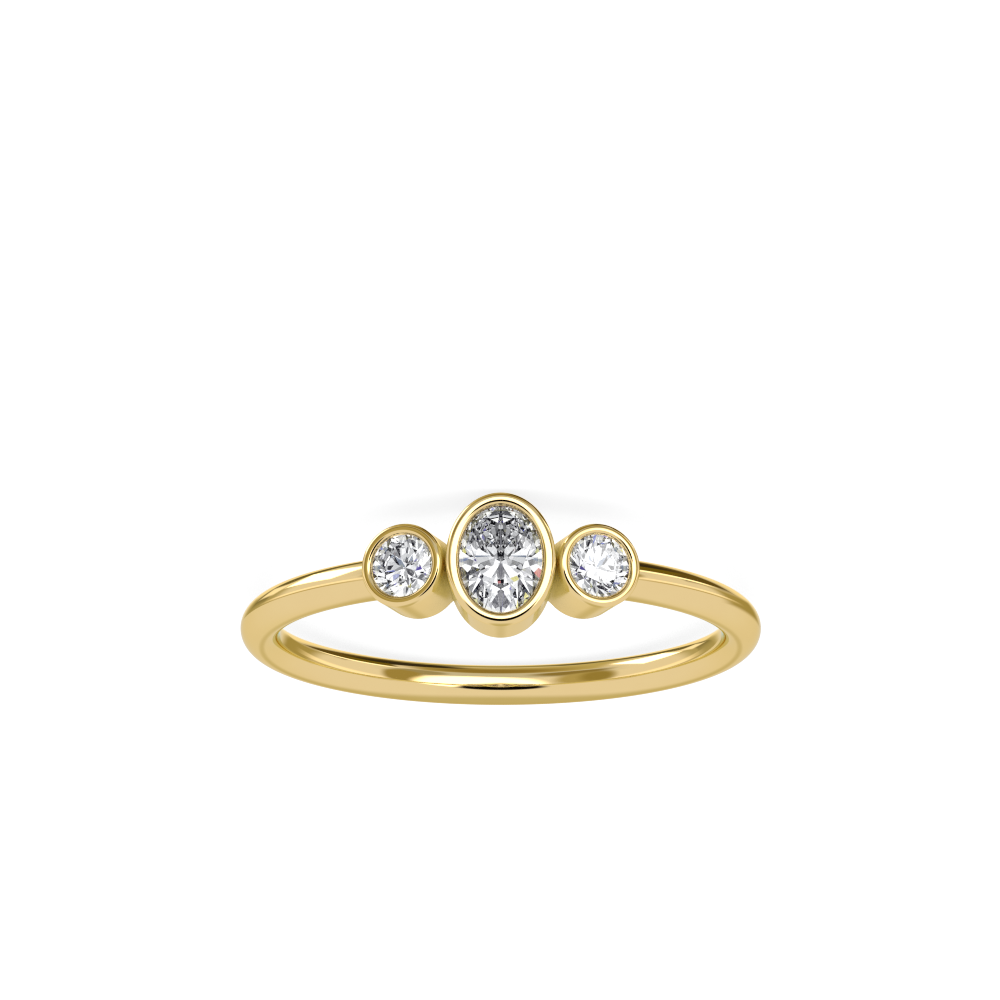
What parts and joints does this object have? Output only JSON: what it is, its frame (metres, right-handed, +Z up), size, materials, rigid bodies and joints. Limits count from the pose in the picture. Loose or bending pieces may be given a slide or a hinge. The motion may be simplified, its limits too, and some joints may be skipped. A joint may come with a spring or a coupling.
{
  "type": "three stone ring",
  "caption": "Polished yellow gold finger ring on a round wire band, with an oval brilliant between round ones, each set in a plain tube bezel.",
  "frame": {"origin": "on the surface that the ring lies on, under the middle of its outline", "axes": "+Z up; the ring lies on its side with the head towards -Y, so its finger axis leans 5.27 degrees from +Z towards +Y; +X is the left of the picture"},
  "size_m": [0.0204, 0.022, 0.0053],
  "materials": {
    "gold": "polished yellow gold",
    "stone": "clear, brilliant cut"
  },
  "bodies": {
    "root": {"band_and_bezels": "gold", "oval_stone": "stone", "round_stone_left": "stone", "round_stone_right": "stone"}
  },
  "joints": []
}
